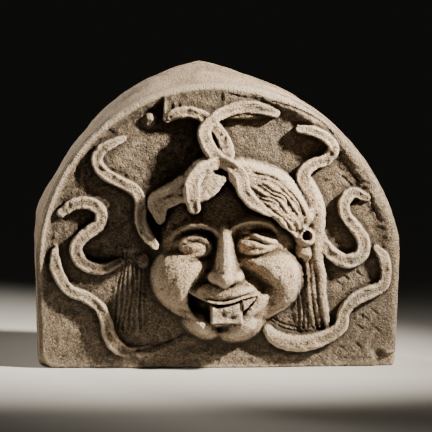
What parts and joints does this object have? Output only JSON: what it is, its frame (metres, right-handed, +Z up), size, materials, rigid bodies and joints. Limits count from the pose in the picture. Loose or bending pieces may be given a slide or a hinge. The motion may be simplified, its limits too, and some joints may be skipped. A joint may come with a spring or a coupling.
{
  "type": "carved gorgon mask relief block",
  "caption": "Lunette-shaped stone block carved in high relief with a grinning gorgon mask, parted hair and writhing snakes on a sunk field.",
  "frame": {"origin": "middle of the overall box's underside, on the surface that the block stands on", "axes": "+X across the block to the viewer's right, +Y from the carved face to the flat back, +Z up"},
  "size_m": [0.4364, 0.2, 0.36],
  "materials": {
    "weathered_stone": "matt weathered warm grey-beige stone with brown staining and dark dirt in the hollows"
  },
  "bodies": {
    "root": {"gorgon_relief_block": "weathered_stone"}
  },
  "joints": []
}
